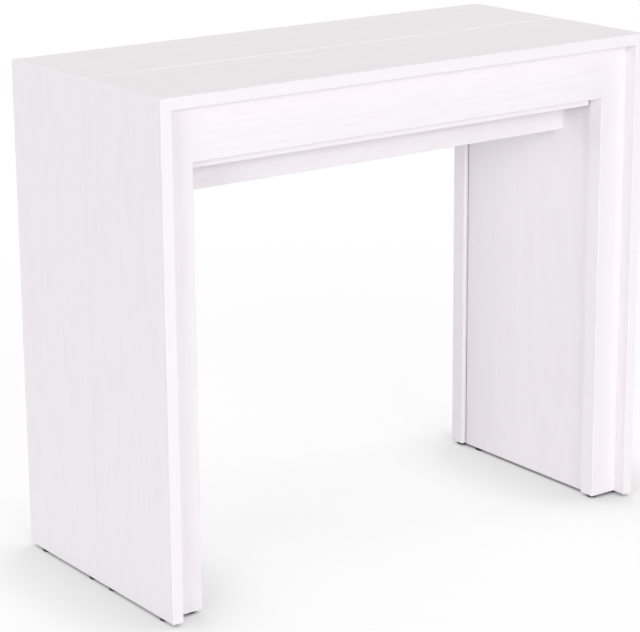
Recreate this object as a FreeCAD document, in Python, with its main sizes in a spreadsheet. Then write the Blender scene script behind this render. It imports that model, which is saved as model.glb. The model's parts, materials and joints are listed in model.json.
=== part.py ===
"""Extending console table: two halves of a white board table that part on telescopic guides.

X runs along the top, the front faces -Y, +Z is up, and the origin lies on the floor under the
middle of the closed table. Lengths are in millimetres.
"""
import FreeCAD, Part
import os
import re

import Sketcher

# Driving dimensions
SIZES = {
    # closed table
    "table_width": 900,
    "table_depth": 410,
    "table_height": 770,
    # folded shell: tops and sides, mitred at the corners and parted at mid depth
    "shell_board": 18,
    "seam_gap": 0.4,
    "seam_top_break": 2.5,
    "seam_side_break": 0.3,
    "edge_break": 1,
    "cut_overrun": 5,
    # recessed portals: two posts and an apron in each half
    "portal_recess": 24,
    "portal_board": 28,
    "post_width": 48,
    "apron_height": 82,
    # leg panels that stand behind the front posts and travel with them
    "panel_board": 18,
    "panel_setback": 7,
    "panel_rear_gap": 2.5,
    "panel_top_gap": 2,
    # batten behind the front apron, which is also the finger pull
    "batten_board": 18,
    "batten_drop": 15,
    "batten_end_gap": 9,
    # stretcher between the leg panels, below the guides
    "stretcher_board": 18,
    "stretcher_height": 90,
    "stretcher_setback": 68,
    "stretcher_top_gap": 6,
    # extruded guide rails: a hollow section with a T tongue outside and a T groove inside
    "rail_width": 12,
    "rail_height": 40,
    "rail_wall": 2,
    "rail_gap": 0.5,
    "rail_top_gap": 1,
    "rail_end_gap": 1,
    "groove_lip": 3,
    "groove_depth": 7,
    "groove_mouth": 8,
    "groove_height": 16,
    "slide_clearance": 0.3,
    "slide_overlap": 46,
    # stop pins between neighbouring rails
    "stop_radius": 2,
    "stop_reach": 1.5,
    "stop_inset": 12,
    # crossbars that tie the left and right rails of a stage
    "bar_width": 24,
    "bar_thickness": 6,
    "bar_pad": 1,
    "bar_gap": 6,
    "bar_inset": 8,
    # hangers: folded angles that carry the first and the last rails under the tops
    "hanger_leg": 16,
    "hanger_sheet": 2,
    "hanger_side_gap": 2,
    "hanger_end_gap": 10,
    # small angles between tops and portals
    "angle_leg": 28,
    "angle_width": 18,
    "angle_sheet": 2,
    # inside radius of the folds in hangers and angles
    "fold_radius": 1,
    # screws
    "screw_radius": 2,
    "screw_head_radius": 4,
    "screw_head_height": 2.4,
    "short_screw_length": 11,
    "bar_screw_length": 12,
    "frame_screw_length": 34,
    "fit_clearance": 0.1,
    "hole_end_gap": 1,
    # dowels
    "dowel_radius": 4,
    "dowel_length": 32,
    # pins and sockets that line up the tops at the seam
    "leaf_pin_radius": 4,
    "leaf_pin_reach": 10,
    "leaf_pin_seat": 18,
    "leaf_pin_spacing": 300,
    "socket_wall": 2,
    "socket_length": 16,
    # glides
    "glide_radius": 8,
    "glide_height": 6,
    "glide_inset": 28,
    "glide_edge_inset": 36,
    "glide_post_inset": 12,
    "glide_stem_radius": 2,
    "glide_stem_length": 14,
}

# Counts and shares
RAIL_COUNT = 7
BAR_SCREW_SHARE = 0.3
HANGER_SCREW_SHARES = (0.2, 0.8)
ANGLE_SCREW_SHARE = 0.6
ANGLE_PLACE_SHARES = (-0.7, 0, 0.7)
APRON_DOWEL_SHARES = (0.25, 0.75)
PANEL_DOWEL_SHARES = (0.15, 0.5, 0.85)
STRETCHER_SCREW_SHARES = (0.25, 0.75)
BATTEN_SCREW_SHARES = (-0.8, -0.35, 0.35, 0.8)
HEAD_CROWN_SHARE = 0.6
GLIDE_ROUND_SHARE = 0.25

HALVES = {"front": -1, "rear": 1}
SIDES = {"left": -1, "right": 1}

# Edges of a board's section that are broken, by corner
ALL_BROKEN = dict.fromkeys(range(4), "edge_break")
LOWER_BROKEN = dict.fromkeys((0, 1), "edge_break")
REAR_BROKEN = dict.fromkeys((2, 3), "edge_break")

# Places worked out from the driving dimensions, measured from the middle of the table
SIDE_INNER = "(table_width / 2 - shell_board)"
POST_INNER = f"({SIDE_INNER} - post_width)"
PANEL_INNER = f"({POST_INNER} + panel_setback)"
TOP_UNDERSIDE = "(table_height - shell_board)"
SEAM = "(seam_gap / 2)"
HALF_DEPTH = "(table_depth / 2)"
PORTAL_OUTER = f"({HALF_DEPTH} - portal_recess)"
PORTAL_INNER = f"({PORTAL_OUTER} - portal_board)"
PORTAL_MIDDLE = f"({PORTAL_OUTER} - portal_board / 2)"
BATTEN_INNER = f"({PORTAL_INNER} - batten_board)"
APRON_BOTTOM = f"({TOP_UNDERSIDE} - apron_height)"
BATTEN_BOTTOM = f"({APRON_BOTTOM} - batten_drop)"
BATTEN_END = f"({PANEL_INNER} - batten_end_gap)"

RAIL_START = f"(rail_end_gap - {BATTEN_INNER})"
RAIL_LENGTH = f"({PORTAL_INNER} + {BATTEN_INNER} - 2 * rail_end_gap)"
RAIL_MIDDLE = f"({TOP_UNDERSIDE} - rail_top_gap - rail_height / 2)"
RAIL_BOTTOM = f"({TOP_UNDERSIDE} - rail_top_gap - rail_height)"
SLIDE_TRAVEL = f"({RAIL_LENGTH} - slide_overlap)"
CHAMBER_LOW = "(groove_height / 2 + rail_wall)"
CHAMBER_HIGH = "(rail_height / 2 - rail_wall)"
CHAMBER_MIDDLE = f"(({CHAMBER_LOW} + {CHAMBER_HIGH}) / 2)"
FIRST_RAIL = f"({PANEL_INNER} - hanger_side_gap - hanger_leg)"
BAR_UNDERSIDE = f"({RAIL_BOTTOM} - bar_pad - bar_thickness)"

STRETCHER_TOP = f"({BAR_UNDERSIDE} - screw_head_height - stretcher_top_gap)"
STRETCHER_BOTTOM = f"({STRETCHER_TOP} - stretcher_height)"
STRETCHER_FRONT = f"(stretcher_setback - {PORTAL_INNER})"
PANEL_REAR = f"({PORTAL_INNER} - panel_rear_gap)"
PANEL_TOP = f"({TOP_UNDERSIDE} - panel_top_gap)"
PANEL_MIDDLE = f"({PANEL_INNER} + panel_board / 2)"
SCREW_HOLE = "(screw_radius + fit_clearance)"

# Unit directions
UP = FreeCAD.Vector(0, 0, 1)
ACROSS = FreeCAD.Vector(1, 0, 0)
BACK = FreeCAD.Vector(0, 1, 0)

# Plane square to each axis: its role and the way its normal points along that axis
PLANES = {"x": ("YZ_Plane", 1), "y": ("XZ_Plane", -1), "z": ("XY_Plane", 1)}

doc = FreeCAD.newDocument("extending_console_table")
sheet = doc.addObject("Spreadsheet::Sheet", "Sizes")
for row, (alias, value) in enumerate(SIZES.items(), 1):
    sheet.set(f"A{row}", alias)
    sheet.set(f"B{row}", str(value))
    sheet.setAlias(f"B{row}", alias)
doc.recompute()

sub_parts = []


def in_sheet(formula):
    """Return a formula of size names as an expression on the sheet's cells."""
    return re.sub(r"[a-z_]{2,}", lambda name: f"Sizes.{name.group()}", str(formula))


def bind(item, path, formula):
    """Tie one property of an object to a formula of size names."""
    item.setExpression(path, in_sheet(formula))


def number(formula):
    """Work out a formula with the sheet's present values."""
    return float(sheet.evalExpression(in_sheet(formula)))


def place(item, corner):
    """Tie an object's place to three formulas."""
    for axis, formula in zip("xyz", corner):
        bind(item, f"Placement.Base.{axis}", formula)


def new_body(label, corner=(0, 0, 0)):
    """Start a body with its own frame at a corner."""
    body = doc.addObject("PartDesign::Body", label)
    place(body, corner)
    return body


def new_sketch(body, axis, level=0):
    """Start a sketch on the plane square to an axis, at a level along that axis."""
    role, way = PLANES[axis]
    sketch = body.newObject("Sketcher::SketchObject", f"{body.Name}_sketch")
    plane = next(item for item in body.Origin.OriginFeatures if item.Role == role)
    sketch.AttachmentSupport = [(plane, "")]
    sketch.MapMode = "FlatFace"
    bind(sketch, "AttachmentOffset.Base.z", f"{way} * ({level})")
    return sketch


def dimension(sketch, wanted):
    """Add dimensions to a sketch, each a kind, the geometry that it holds and its formula."""
    named = []
    for index, (kind, held, formula) in enumerate(wanted, sketch.ConstraintCount):
        constraint = Sketcher.Constraint(kind, *held, number(formula))
        constraint.Name = f"{kind}_{index}"
        named.append(constraint)
    sketch.addConstraint(named)
    for constraint, (kind, held, formula) in zip(named, wanted):
        bind(sketch, f"Constraints.{constraint.Name}", formula)


def draw_outline(sketch, points):
    """Draw a closed outline whose corners are given as formulas."""
    corners = [FreeCAD.Vector(number(u), number(v), 0) for u, v in points]
    count = len(points)
    lines = sketch.addGeometry([
        Part.LineSegment(corner, corners[(index + 1) % count]) for index, corner in enumerate(corners)
    ])
    following = lines[1:] + lines[:1]
    sketch.addConstraint([
        Sketcher.Constraint("Coincident", line, 2, after, 1) for line, after in zip(lines, following)
    ])
    dimension(sketch, [("DistanceX", (line, 1), u) for line, (u, v) in zip(lines, points)])
    dimension(sketch, [("DistanceY", (line, 1), v) for line, (u, v) in zip(lines, points)])


def draw_circles(sketch, centres, radius):
    """Draw circles of one radius, whose centres are given as formulas."""
    circles = sketch.addGeometry([
        Part.Circle(FreeCAD.Vector(number(u), number(v), 0), UP, number(radius)) for u, v in centres
    ])
    dimension(sketch, [("DistanceX", (circle, 3), u) for circle, (u, v) in zip(circles, centres)])
    dimension(sketch, [("DistanceY", (circle, 3), v) for circle, (u, v) in zip(circles, centres)])
    dimension(sketch, [("Radius", (circle,), radius) for circle in circles])


def pad(body, sketch, axis, length):
    """Raise a sketch towards the positive end of its axis."""
    feature = body.newObject("PartDesign::Pad", f"{body.Name}_pad")
    feature.Profile = sketch
    feature.Reversed = PLANES[axis][1] < 0
    bind(feature, "Length", length)


def cut(body, sketch, axis, way=1, depth=None):
    """Cut a sketch out of a body: to a depth one way along its axis, or right through."""
    feature = body.newObject("PartDesign::Pocket", f"{body.Name}_cut")
    feature.Profile = sketch
    if depth is None:
        feature.Type = "ThroughAll"
        feature.Midplane = True
    else:
        feature.Reversed = way * PLANES[axis][1] > 0
        bind(feature, "Length", depth)


def drill(body, axis, level, way, centres, radius, depth):
    """Drill round holes into a body from a level along an axis."""
    sketch = new_sketch(body, axis, level)
    draw_circles(sketch, centres, radius)
    cut(body, sketch, axis, way, depth)


def broken_rectangle(width, height, broken):
    """Return a rectangle's outline from the origin, with some corners broken by the sizes given for them.

    The corners count round from the origin: 0 at the origin, 1 along the width, 2 opposite, 3 last.
    """
    outline = []
    corners = [("0", "0"), (width, "0"), (width, height), ("0", height)]
    for index, (u, v) in enumerate(corners):
        if index not in broken:
            outline.append((u, v))
            continue
        near, far = broken[index], f"-{broken[index]}"
        steps = [((0, near), (near, 0)), ((far, 0), (0, near)), ((0, far), (far, 0)), ((near, 0), (0, far))]
        for step_u, step_v in steps[index]:
            outline.append((f"{u} + {step_u}", f"{v} + {step_v}"))
    return outline


def board(label, low, high, along, broken):
    """Make a board between two corners, with broken edges along one axis."""
    size = [f"({top}) - ({bottom})" for bottom, top in zip(low, high)]
    spans = dict(zip("xyz", size))
    across = [spans[axis] for axis in "xyz" if axis != along]
    body = new_body(label, low)
    sketch = new_sketch(body, along)
    draw_outline(sketch, broken_rectangle(*[f"({span})" for span in across], broken))
    pad(body, sketch, along, spans[along])
    sub_parts.append(body)
    return body


def round_edge(body, along, corner, radius):
    """Round the edge of a body that runs along an axis through a corner of its section."""
    doc.recompute()
    base = body.Tip
    across = [index for index, axis in enumerate("xyz") if axis != along]
    point = [number(formula) for formula in corner]
    names = []
    for index, edge in enumerate(base.Shape.Edges, 1):
        ends = [vertex.Point for vertex in edge.Vertexes]
        offsets = [abs(end[axis] - place) for end in ends for axis, place in zip(across, point)]
        if max(offsets) < Part.Precision.confusion():
            names.append(f"Edge{index}")
    feature = body.newObject("PartDesign::Fillet", f"{body.Name}_round")
    feature.Base = (base, names)
    bind(feature, "Radius", radius)


def both_ways(half, near, far):
    """Return low and high formulas of a span that lies from near to far on one half or side."""
    return (near, far) if half > 0 else (f"-({far})", f"-({near})")


def turned(label, points):
    """Make a turned piece from its half outline of radius and height formulas."""
    body = new_body(label)
    sketch = new_sketch(body, "y")
    draw_outline(sketch, points)
    feature = body.newObject("PartDesign::Revolution", f"{label}_turn")
    feature.Profile = sketch
    feature.ReferenceAxis = (sketch, ["V_Axis"])
    return body


def group(label, pattern, places):
    """Repeat one piece at several places, each a corner and a rotation, as one sub-part."""
    links = []
    for index, (corner, turn) in enumerate(places):
        link = doc.addObject("App::Link", f"{label}_{index}")
        link.LinkedObject = pattern
        link.Placement = FreeCAD.Placement(FreeCAD.Vector(), turn)
        place(link, corner)
        links.append(link)
    compound = doc.addObject("Part::Compound", label)
    compound.Links = links
    sub_parts.append(compound)


def facing(direction):
    """Return the turn that points a turned piece along a direction."""
    return FreeCAD.Rotation(UP, direction)


def screw(label, length):
    """Make a pan-head screw that seats at its origin and points up."""
    head, crown = "screw_head_radius", f"(screw_head_radius * {HEAD_CROWN_SHARE})"
    return turned(label, [
        ("0", "-screw_head_height"),
        (crown, "-screw_head_height"),
        (head, f"-screw_head_height * (1 - {HEAD_CROWN_SHARE})"),
        (head, "0"),
        ("screw_radius", "0"),
        ("screw_radius", f"{length} - screw_radius"),
        ("0", length),
    ])


def mitre(axis_end, side):
    """Return the outline that cuts one end of the top or side board to its mitre.

    axis_end is "top" for the board that lies flat and "side" for the upright one.
    """
    inner = "(cut_overrun + shell_board)"
    line = [("edge_break", "0"), ("edge_break / 2", "edge_break / 2"), ("shell_board", "shell_board")]
    rim = [("shell_board", inner), ("-cut_overrun", inner), ("-cut_overrun", "-cut_overrun"),
           ("edge_break", "-cut_overrun")]
    outline = []
    for from_end, from_top in line + rim:
        if axis_end == "side":
            from_end, from_top = from_top, from_end
        x = f"{side} * (table_width / 2 - ({from_end}))"
        z = f"table_height - ({from_top})"
        outline.append((x, z))
    return outline


def add_top(name, half):
    """Add one half of the top, with mitred ends and the seam's pin holes."""
    low_y, high_y = both_ways(half, SEAM, HALF_DEPTH)
    seam_corner = 3 if half > 0 else 2
    body = board(f"{name}_top", ("-table_width / 2", low_y, TOP_UNDERSIDE),
                 ("table_width / 2", high_y, "table_height"), "x",
                 {**ALL_BROKEN, seam_corner: "seam_top_break"})
    ends = new_sketch(body, "y")
    for side in SIDES.values():
        corners = mitre("top", side)
        draw_outline(ends, [(f"{x} + table_width / 2", f"{z} - {TOP_UNDERSIDE}") for x, z in corners])
    cut(body, ends, "y")
    radius, depth = seam_hole(half)
    seam_level = "0" if half > 0 else f"{HALF_DEPTH} - {SEAM}"
    drill(body, "y", seam_level, half, [
        (f"table_width / 2 + {step} * leaf_pin_spacing", "shell_board / 2") for step in (-1, 0, 1)
    ], radius, depth)
    drill(body, "z", "0", 1, [
        (f"{x} + table_width / 2", f"{y} - ({low_y})") for x, y in top_screw_places(half)
    ], SCREW_HOLE, "short_screw_length")


def seam_hole(half):
    """Return the radius and depth of the holes in a top's seam edge."""
    if half > 0:
        return "leaf_pin_radius + slide_clearance + socket_wall + fit_clearance", "socket_length"
    return "leaf_pin_radius + fit_clearance", "leaf_pin_seat + hole_end_gap"


def portal_face(half):
    """Return the distance from mid depth to the inside face that a half's angles sit on."""
    return PORTAL_INNER if half > 0 else BATTEN_INNER


def rail_outer(stage):
    """Return the distance from the middle to the outer face of a stage's rails."""
    return f"({FIRST_RAIL} - {stage} * (rail_width + rail_gap))"


def hanger_face(half):
    """Return where a half's hangers meet their rail, and which way their top leg runs."""
    if half > 0:
        return FIRST_RAIL, 1
    return f"({rail_outer(RAIL_COUNT - 1)} - rail_width)", -1


def hanger_span(half):
    """Return the start and length of a half's hangers along the depth."""
    low, high = both_ways(half, f"{SEAM} + hanger_end_gap", f"{portal_face(half)} - hanger_end_gap")
    return low, f"({high}) - ({low})"


def hanger_screw_depths(half):
    """Return the places of a half's hanger screws along the depth."""
    low, length = hanger_span(half)
    return [f"({low}) + ({length}) * {share}" for share in HANGER_SCREW_SHARES]


def angle_places():
    """Return the places of the angles along the top."""
    face = hanger_face(-1)[0]
    return [f"({face} - hanger_leg - angle_width) * {share}" for share in ANGLE_PLACE_SHARES]


def top_screw_places(half):
    """Return where screws enter the underside of a half's top."""
    face, way = hanger_face(half)
    places = []
    for side in SIDES.values():
        for depth in hanger_screw_depths(half):
            places.append((f"{side} * ({face} + {way} * hanger_leg * {ANGLE_SCREW_SHARE})", depth))
    for x in angle_places():
        places.append((x, f"{half} * ({portal_face(half)} - angle_leg * {ANGLE_SCREW_SHARE})"))
    return places


def add_side(name, half, hand, side):
    """Add one half of a side, mitred to the top and drilled for its glides."""
    low_x, high_x = both_ways(side, SIDE_INNER, "table_width / 2")
    low_y, high_y = both_ways(half, SEAM, HALF_DEPTH)
    seam_corners = (0, 1) if half > 0 else (2, 3)
    body = board(f"{name}_side_{hand}", (low_x, low_y, "glide_height"),
                 (high_x, high_y, "table_height"), "z",
                 {**ALL_BROKEN, **dict.fromkeys(seam_corners, "seam_side_break")})
    end = new_sketch(body, "y")
    draw_outline(end, [(f"{x} - ({low_x})", f"{z} - glide_height") for x, z in mitre("side", side)])
    cut(body, end, "y")
    drill_glides(body, low_x, low_y, side_glides(half, side))


def drill_glides(body, low_x, low_y, places):
    """Drill the stem holes of glides into a board's lower edge."""
    centres = [(f"{x} - ({low_x})", f"{y} - ({low_y})") for x, y in places]
    radius, depth = "glide_stem_radius + fit_clearance", "glide_stem_length + hole_end_gap"
    drill(body, "z", "0", 1, centres, radius, depth)


def side_glides(half, side):
    """Return the glide places under one half of a side."""
    x = f"{side} * ({SIDE_INNER} + shell_board / 2)"
    depths = (f"{SEAM} + glide_inset", f"{HALF_DEPTH} - glide_edge_inset")
    return [(x, f"{half} * ({depth})") for depth in depths]


def post_glides(half, side):
    """Return the glide place under a post, near its inner face."""
    return [(f"{side} * ({POST_INNER} + glide_post_inset)", f"{half} * {PORTAL_MIDDLE}")]


def panel_glides(side):
    """Return the glide place under the rear end of a leg panel, whose front end its post carries."""
    return [(f"{side} * {PANEL_MIDDLE}", f"{PANEL_REAR} - glide_inset")]


def apron_dowel_heights():
    """Return the heights of the dowels between an apron and its posts."""
    return [f"{APRON_BOTTOM} + apron_height * {share}" for share in APRON_DOWEL_SHARES]


def panel_dowel_heights():
    """Return the heights of the dowels between a leg panel and its post."""
    return [f"glide_height + ({PANEL_TOP} - glide_height) * {share}" for share in PANEL_DOWEL_SHARES]


DOWEL_HOLE = "dowel_radius + fit_clearance"
DOWEL_DEPTH = "dowel_length / 2 + hole_end_gap"


def add_post(name, half, hand, side):
    """Add a post of a portal, drilled for its dowels and its glide."""
    low_x, high_x = both_ways(side, POST_INNER, SIDE_INNER)
    low_y, high_y = both_ways(half, PORTAL_INNER, PORTAL_OUTER)
    body = board(f"{name}_post_{hand}", (low_x, low_y, "glide_height"),
                 (high_x, high_y, TOP_UNDERSIDE), "z", {})
    inner_level = "0" if side > 0 else "post_width"
    # The inner edges are broken up to the apron, which lies flush with the post
    edges = new_sketch(body, "z")
    for edge, way in (("0", 1), ("portal_board", -1)):
        draw_outline(edges, [(inner_level, edge), (f"{inner_level} + {side} * edge_break", edge),
                             (inner_level, f"{edge} + {way} * edge_break")])
    cut(body, edges, "z", 1, f"{APRON_BOTTOM} - glide_height")
    drill(body, "x", inner_level, side, [
        ("portal_board / 2", f"{height} - glide_height") for height in apron_dowel_heights()
    ], DOWEL_HOLE, DOWEL_DEPTH)
    if half < 0:
        panel_x = f"{side} * {PANEL_MIDDLE} - ({low_x})"
        drill(body, "y", "portal_board", -1, [
            (panel_x, f"{height} - glide_height") for height in panel_dowel_heights()
        ], DOWEL_HOLE, DOWEL_DEPTH)
    drill_glides(body, low_x, low_y, post_glides(half, side))


def add_apron(name, half):
    """Add a portal's apron, drilled for its dowels and fastenings."""
    low_y, high_y = both_ways(half, PORTAL_INNER, PORTAL_OUTER)
    body = board(f"{name}_apron", (f"-{POST_INNER}", low_y, APRON_BOTTOM),
                 (POST_INNER, high_y, TOP_UNDERSIDE), "x", LOWER_BROKEN)
    dowels = [("portal_board / 2", f"{height} - {APRON_BOTTOM}") for height in apron_dowel_heights()]
    drill(body, "x", "0", 1, dowels, DOWEL_HOLE, DOWEL_DEPTH)
    drill(body, "x", f"2 * {POST_INNER}", -1, dowels, DOWEL_HOLE, DOWEL_DEPTH)
    if half > 0:
        centres = [(f"{x} + {POST_INNER}", f"apron_height - angle_leg * {ANGLE_SCREW_SHARE}")
                   for x in angle_places()]
        drill(body, "y", "0", 1, centres, SCREW_HOLE, "short_screw_length")
    else:
        height = f"{BATTEN_SCREW_HEIGHT} - {APRON_BOTTOM}"
        centres = [(f"{x} + {POST_INNER}", height) for x in batten_screws()]
        depth = "frame_screw_length - batten_board + hole_end_gap"
        drill(body, "y", "portal_board", -1, centres, SCREW_HOLE, depth)


BATTEN_SCREW_HEIGHT = f"({APRON_BOTTOM} + apron_height / 2)"


def batten_screws():
    """Return the places along the batten of its screws into the apron."""
    reach = f"({hanger_face(-1)[0]} - hanger_leg)"
    return [f"{reach} * {share}" for share in BATTEN_SCREW_SHARES]


def add_batten():
    """Add the batten behind the front apron, whose lower edge is the finger pull."""
    low = (f"-{BATTEN_END}", f"-{PORTAL_INNER}", BATTEN_BOTTOM)
    body = board("front_batten", low, (BATTEN_END, f"-{BATTEN_INNER}", TOP_UNDERSIDE), "x", LOWER_BROKEN)
    clear = [(f"{x} + {BATTEN_END}", f"{BATTEN_SCREW_HEIGHT} - {BATTEN_BOTTOM}") for x in batten_screws()]
    drill(body, "y", "batten_board", -1, clear, SCREW_HOLE, "batten_board")
    height = f"{TOP_UNDERSIDE} - angle_leg * {ANGLE_SCREW_SHARE} - {BATTEN_BOTTOM}"
    angles = [(f"{x} + {BATTEN_END}", height) for x in angle_places()]
    drill(body, "y", "batten_board", -1, angles, SCREW_HOLE, "short_screw_length")


def stretcher_screw_heights():
    """Return the heights of the screws through the leg panels into the stretcher."""
    return [f"{STRETCHER_BOTTOM} + stretcher_height * {share}" for share in STRETCHER_SCREW_SHARES]


STRETCHER_MIDDLE = f"({STRETCHER_FRONT} + stretcher_board / 2)"


def add_leg_panel(hand, side):
    """Add a leg panel behind a front post."""
    low_x, high_x = both_ways(side, PANEL_INNER, f"{PANEL_INNER} + panel_board")
    low_y = f"-{PORTAL_INNER}"
    body = board(f"leg_panel_{hand}", (low_x, low_y, "glide_height"),
                 (high_x, PANEL_REAR, PANEL_TOP), "z", REAR_BROKEN)
    drill(body, "y", "0", 1, [
        ("panel_board / 2", f"{height} - glide_height") for height in panel_dowel_heights()
    ], DOWEL_HOLE, DOWEL_DEPTH)
    outer_level = "panel_board" if side > 0 else "0"
    screw_y = f"{STRETCHER_MIDDLE} - ({low_y})"
    drill(body, "x", outer_level, -side, [
        (screw_y, f"{height} - glide_height") for height in stretcher_screw_heights()
    ], SCREW_HOLE, "panel_board")
    drill_glides(body, low_x, low_y, panel_glides(side))


def add_stretcher():
    """Add the stretcher between the leg panels."""
    low = (f"-{PANEL_INNER}", STRETCHER_FRONT, STRETCHER_BOTTOM)
    high = (PANEL_INNER, f"{STRETCHER_FRONT} + stretcher_board", STRETCHER_TOP)
    body = board("stretcher", low, high, "x", ALL_BROKEN)
    heights = [f"{height} - {STRETCHER_BOTTOM}" for height in stretcher_screw_heights()]
    centres = [("stretcher_board / 2", height) for height in heights]
    depth = "frame_screw_length - panel_board + hole_end_gap"
    drill(body, "x", "0", 1, centres, SCREW_HOLE, depth)
    drill(body, "x", f"2 * {PANEL_INNER}", -1, centres, SCREW_HOLE, depth)


def rail_outline(side, tongue, groove):
    """Return the outline of a rail's section, from its outer face inwards and about its mid height."""
    half = "rail_height / 2"
    outline = [("0", f"-{half}"), ("rail_width", f"-{half}")]
    if groove:
        mouth, head = "groove_mouth / 2", "groove_height / 2"
        lip, floor = "rail_width - groove_lip", "rail_width - groove_depth"
        outline += [("rail_width", f"-{mouth}"), (lip, f"-{mouth}"), (lip, f"-{head}"), (floor, f"-{head}"),
                    (floor, head), (lip, head), (lip, mouth), ("rail_width", mouth)]
    outline += [("rail_width", half), ("0", half)]
    if tongue:
        neck, head = "groove_mouth / 2 - slide_clearance", "groove_height / 2 - slide_clearance"
        lip = "-(rail_gap + groove_lip + slide_clearance)"
        tip = "-(rail_gap + groove_depth - slide_clearance)"
        outline += [("0", neck), (lip, neck), (lip, head), (tip, head),
                    (tip, f"-({head})"), (lip, f"-({head})"), (lip, f"-({neck})"), ("0", f"-({neck})")]
    return [(f"{-side} * ({u})", v) for u, v in outline]


def chamber_outline(side, way):
    """Return the outline of the hollow chamber above or below a rail's groove."""
    corners = [("rail_wall", CHAMBER_LOW), ("rail_width - rail_wall", CHAMBER_LOW),
               ("rail_width - rail_wall", CHAMBER_HIGH), ("rail_wall", CHAMBER_HIGH)]
    return [(f"{-side} * ({u})", f"{way} * {v}") for u, v in corners]


def cut_slot(body, side):
    """Cut the slot that a stop pin runs in along a rail's outer wall, with round ends."""
    reach = "(stop_radius + slide_clearance)"
    ends = ("stop_inset", f"(stop_inset + {SLIDE_TRAVEL})")
    low, high = f"{CHAMBER_MIDDLE} - {reach}", f"{CHAMBER_MIDDLE} + {reach}"
    run = new_sketch(body, "x")
    draw_outline(run, [(ends[0], low), (ends[1], low), (ends[1], high), (ends[0], high)])
    cut(body, run, "x", -side, "rail_wall")
    drill(body, "x", "0", -side, [(end, CHAMBER_MIDDLE) for end in ends], reach, "rail_wall")


def add_rail(stage, hand, side):
    """Add one guide rail of a stage: the first has no tongue and the last no groove."""
    first, last = stage == 0, stage == RAIL_COUNT - 1
    corner = (f"{side} * {rail_outer(stage)}", RAIL_START, RAIL_MIDDLE)
    body = new_body(f"guide_rail_{stage}_{hand}", corner)
    section = new_sketch(body, "y")
    draw_outline(section, rail_outline(side, not first, not last))
    for way in (-1, 1):
        draw_outline(section, chamber_outline(side, way))
    pad(body, section, "y", RAIL_LENGTH)
    sub_parts.append(body)
    if not first:
        cut_slot(body, side)
    if not last:
        drill(body, "x", f"{-side} * rail_width", side, [("stop_inset", CHAMBER_MIDDLE)],
              "stop_radius + fit_clearance", "rail_wall")
    if first or last:
        level = "0" if first else f"{-side} * rail_width"
        way = -side if first else side
        half = 1 if first else -1
        depths = [f"{depth} - {RAIL_START}" for depth in hanger_screw_depths(half)]
        centres = [(depth, f"-{CHAMBER_MIDDLE}") for depth in depths]
        drill(body, "x", level, way, centres, SCREW_HOLE, "rail_wall")
    else:
        depths = [f"{depth} - {RAIL_START}" for depth in bar_screw_depths(stage)]
        centres = [(f"{-side} * rail_width / 2", depth) for depth in depths]
        drill(body, "z", "-rail_height / 2", 1, centres, SCREW_HOLE, "rail_wall")


def bar_start(stage):
    """Return where a stage's crossbar starts along the depth: later stages lie further forward."""
    steps = RAIL_COUNT - 2 - stage
    return f"({RAIL_START} + bar_inset + {steps} * (bar_width + bar_gap))"


def bar_screw_depths(stage):
    """Return the places along the depth of a crossbar's screws."""
    middle = f"{bar_start(stage)} + bar_width / 2"
    return [f"{middle} + {way} * bar_width * {BAR_SCREW_SHARE}" for way in (-1, 1)]


def add_crossbar(stage):
    """Add the crossbar under a stage's rails, with a raised pad at each end."""
    end = rail_outer(stage)
    inner = f"({end} - rail_width)"
    body = new_body(f"crossbar_{stage}", ("0", bar_start(stage), BAR_UNDERSIDE))
    section = new_sketch(body, "y")
    pad_top = "bar_thickness + bar_pad"
    draw_outline(section, [
        (f"-{end}", "0"), (end, "0"), (end, pad_top), (inner, pad_top), (inner, "bar_thickness"),
        (f"-{inner}", "bar_thickness"), (f"-{inner}", pad_top), (f"-{end}", pad_top),
    ])
    pad(body, section, "y", "bar_width")
    centres = [(x, f"{depth} - {bar_start(stage)}") for x, depth in bar_screw_places(stage)]
    drill(body, "z", "0", 1, centres, SCREW_HOLE, pad_top)
    sub_parts.append(body)


def bar_screw_places(stage):
    """Return the places of the screws through a stage's crossbar."""
    return [(f"{side} * ({rail_outer(stage)} - rail_width / 2)", depth)
            for side in SIDES.values() for depth in bar_screw_depths(stage)]


def hanger(half, side):
    """Make one hanger and return it."""
    face, way = hanger_face(half)
    low, length = hanger_span(half)
    body = new_body(f"hanger_{half + 1}_{side + 1}", (f"{side} * {face}", low, TOP_UNDERSIDE))
    section = new_sketch(body, "y")
    drop = "-(rail_top_gap + rail_height)"
    outward = side * way
    corners = [("0", drop), ("hanger_sheet", drop), ("hanger_sheet", "-hanger_sheet"),
               ("hanger_leg", "-hanger_sheet"), ("hanger_leg", "0"), ("0", "0")]
    draw_outline(section, [(f"{outward} * {u}", v) for u, v in corners])
    pad(body, section, "y", length)
    round_edge(body, "y", (f"{outward} * hanger_sheet", "-hanger_sheet"), "fold_radius")
    round_edge(body, "y", ("0", "0"), "fold_radius + hanger_sheet")
    depths = [f"{depth} - ({low})" for depth in hanger_screw_depths(half)]
    up_holes = [(f"{outward} * hanger_leg * {ANGLE_SCREW_SHARE}", depth) for depth in depths]
    drill(body, "z", "-hanger_sheet", 1, up_holes, SCREW_HOLE, "hanger_sheet")
    screw_height = f"{RAIL_MIDDLE} - {CHAMBER_MIDDLE} - {TOP_UNDERSIDE}"
    side_holes = [(depth, screw_height) for depth in depths]
    drill(body, "x", f"{outward} * hanger_sheet", -outward, side_holes, SCREW_HOLE, "hanger_sheet")
    return body


def add_hangers(name, half):
    """Add a half's pair of hangers."""
    compound = doc.addObject("Part::Compound", f"{name}_hangers")
    compound.Links = [hanger(half, side) for side in SIDES.values()]
    sub_parts.append(compound)


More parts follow.
